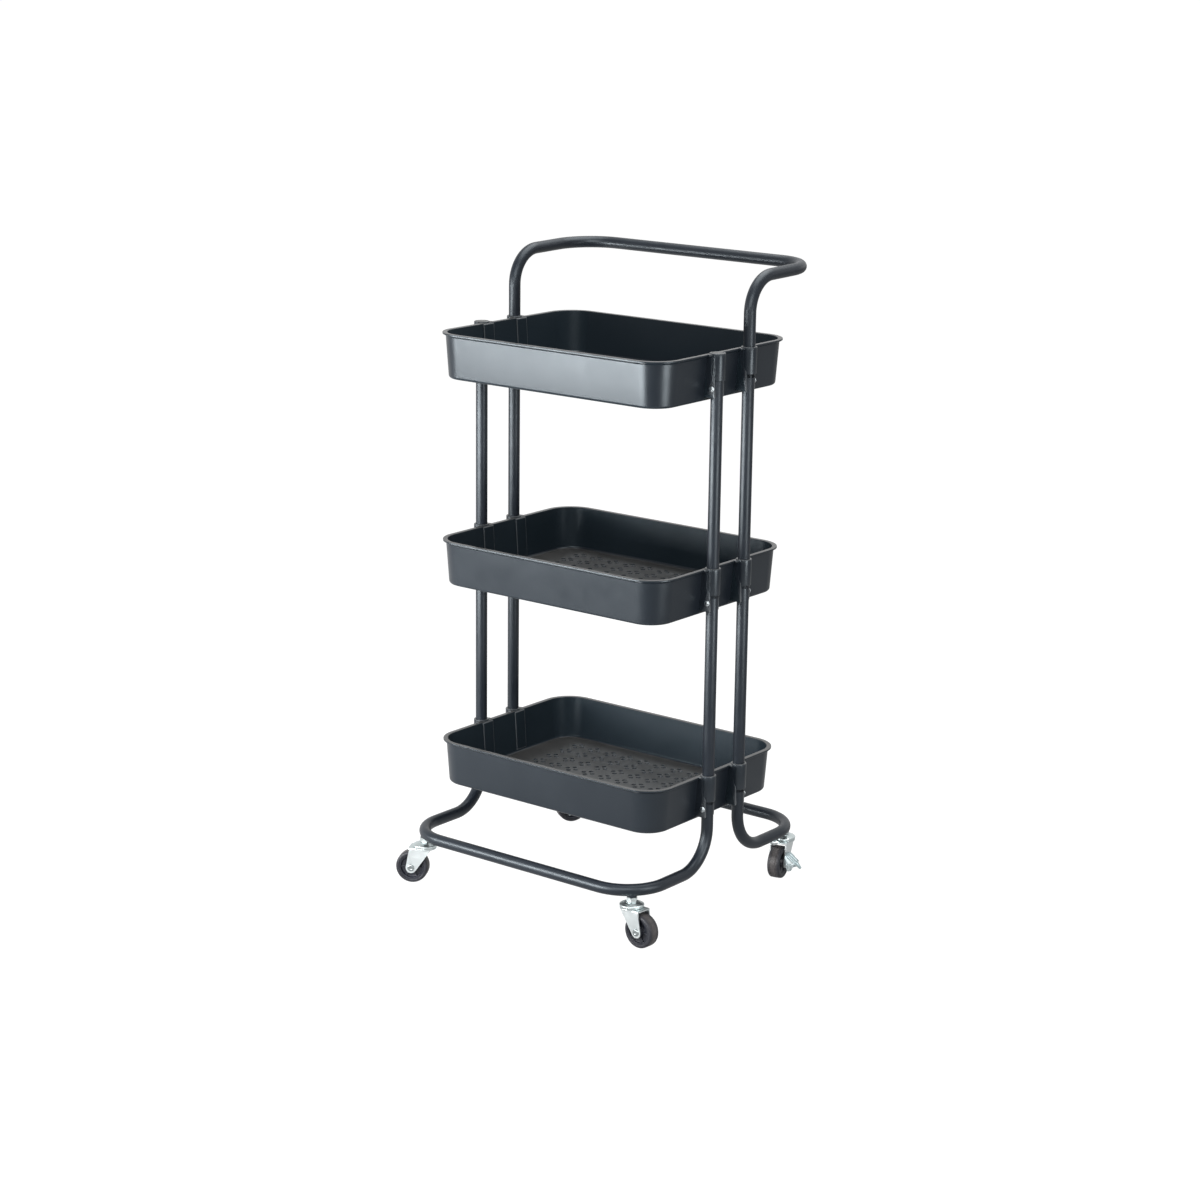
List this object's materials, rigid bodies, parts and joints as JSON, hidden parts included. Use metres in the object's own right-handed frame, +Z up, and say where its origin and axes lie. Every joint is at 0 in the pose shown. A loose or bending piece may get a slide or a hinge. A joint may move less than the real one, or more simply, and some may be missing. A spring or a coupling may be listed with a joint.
{
  "type": "rolling utility cart",
  "caption": "Utility cart: plastic baskets in tiers on a bent steel tube frame, with a U-shaped push handle and swivel casters, the rear pair with foot brakes.",
  "frame": {"origin": "on the floor, under the middle of the cart, as the cart stands on its wheels", "axes": "+Z up, +X along the baskets' long side to the right, +Y to the rear, where the handle is"},
  "size_m": [0.4383, 0.3981, 0.86],
  "materials": {
    "basket_plastic": "fine moulded grain, satin sheen",
    "tube_paint": "black powder coat, satin",
    "zinc": "bright zinc plate, bluish",
    "screw_zinc": "bright zinc plate",
    "wheel_plastic": "moulded, satin",
    "tyre_rubber": "worn matt rubber"
  },
  "bodies": {
    "frame": {"front_base_tube": "tube_paint", "rear_base_tube": "tube_paint", "lower_post_front_left": "tube_paint", "upper_post_front_left": "tube_paint", "lower_post_front_right": "tube_paint", "upper_post_front_right": "tube_paint", "lower_post_rear_left": "tube_paint", "upper_post_rear_left": "tube_paint", "lower_post_rear_right": "tube_paint", "upper_post_rear_right": "tube_paint", "handle_tube": "tube_paint", "post_cap_left": "basket_plastic", "post_cap_right": "basket_plastic", "bottom_basket": "basket_plastic", "middle_basket": "basket_plastic", "top_basket": "basket_plastic", "screw_bottom_front_left": "screw_zinc", "screw_bottom_front_right": "screw_zinc", "screw_bottom_rear_left": "screw_zinc", "screw_bottom_rear_right": "screw_zinc", "screw_middle_front_left": "screw_zinc", "screw_middle_front_right": "screw_zinc", "screw_middle_rear_left": "screw_zinc", "screw_middle_rear_right": "screw_zinc", "screw_top_front_left": "screw_zinc", "screw_top_front_right": "screw_zinc", "screw_top_rear_left": "screw_zinc", "screw_top_rear_right": "screw_zinc", "front_left_caster_stem": "zinc", "front_left_caster_nut": "zinc", "front_right_caster_stem": "zinc", "front_right_caster_nut": "zinc", "rear_left_caster_stem": "zinc", "rear_left_caster_nut": "zinc", "rear_right_caster_stem": "zinc", "rear_right_caster_nut": "zinc"},
    "front_left_swivel": {"front_left_caster_fork": "zinc", "front_left_caster_axle": "zinc"},
    "front_left_wheel": {"front_left_wheel_core": "wheel_plastic", "front_left_tyre": "tyre_rubber"},
    "front_right_swivel": {"front_right_caster_fork": "zinc", "front_right_caster_axle": "zinc"},
    "front_right_wheel": {"front_right_wheel_core": "wheel_plastic", "front_right_tyre": "tyre_rubber"},
    "rear_left_swivel": {"rear_left_caster_fork": "zinc", "rear_left_caster_axle": "zinc", "rear_left_brake_pin": "zinc"},
    "rear_left_wheel": {"rear_left_wheel_core": "wheel_plastic", "rear_left_tyre": "tyre_rubber"},
    "rear_left_brake": {"rear_left_brake_lever": "zinc"},
    "rear_right_swivel": {"rear_right_caster_fork": "zinc", "rear_right_caster_axle": "zinc", "rear_right_brake_pin": "zinc"},
    "rear_right_wheel": {"rear_right_wheel_core": "wheel_plastic", "rear_right_tyre": "tyre_rubber"},
    "rear_right_brake": {"rear_right_brake_lever": "zinc"}
  },
  "joints": [
    {"name": "front_left_swivel_turn", "type": "hinge", "parent": "frame", "child": "front_left_swivel", "pos_m": [-0.17943, -0.17343, 0.0513], "axis": [0, 0, 1], "continuous": true},
    {"name": "front_left_wheel_roll", "type": "hinge", "parent": "front_left_swivel", "child": "front_left_wheel", "pos_m": [-0.19488, -0.18164, 0.0225], "axis": [0.4695, -0.8829, 0], "continuous": true},
    {"name": "front_right_swivel_turn", "type": "hinge", "parent": "frame", "child": "front_right_swivel", "pos_m": [0.17943, -0.17343, 0.0513], "axis": [0, 0, 1], "continuous": true},
    {"name": "front_right_wheel_roll", "type": "hinge", "parent": "front_right_swivel", "child": "front_right_wheel", "pos_m": [0.1969, -0.17434, 0.0225], "axis": [0.0523, 0.9986, 0], "continuous": true},
    {"name": "rear_left_swivel_turn", "type": "hinge", "parent": "frame", "child": "rear_left_swivel", "pos_m": [-0.17943, 0.17343, 0.0513], "axis": [0, 0, 1], "continuous": true},
    {"name": "rear_left_wheel_roll", "type": "hinge", "parent": "rear_left_swivel", "child": "rear_left_wheel", "pos_m": [-0.1887, 0.15859, 0.0225], "axis": [0.848, -0.5299, 0], "continuous": true},
    {"name": "rear_left_brake_press", "type": "hinge", "parent": "rear_left_swivel", "child": "rear_left_brake", "pos_m": [-0.17471, 0.14984, 0.0225], "axis": [-0.5299, -0.848, 0], "range_deg": [-25, 0]},
    {"name": "rear_right_swivel_turn", "type": "hinge", "parent": "frame", "child": "rear_right_swivel", "pos_m": [0.17943, 0.17343, 0.0513], "axis": [0, 0, 1], "continuous": true},
    {"name": "rear_right_wheel_roll", "type": "hinge", "parent": "rear_right_swivel", "child": "rear_right_wheel", "pos_m": [0.18336, 0.15637, 0.0225], "axis": [0.9744, 0.225, 0], "continuous": true},
    {"name": "rear_right_brake_press", "type": "hinge", "parent": "rear_right_swivel", "child": "rear_right_brake", "pos_m": [0.19944, 0.16009, 0.0225], "axis": [0.225, -0.9744, 0], "range_deg": [-25, 0]}
  ]
}
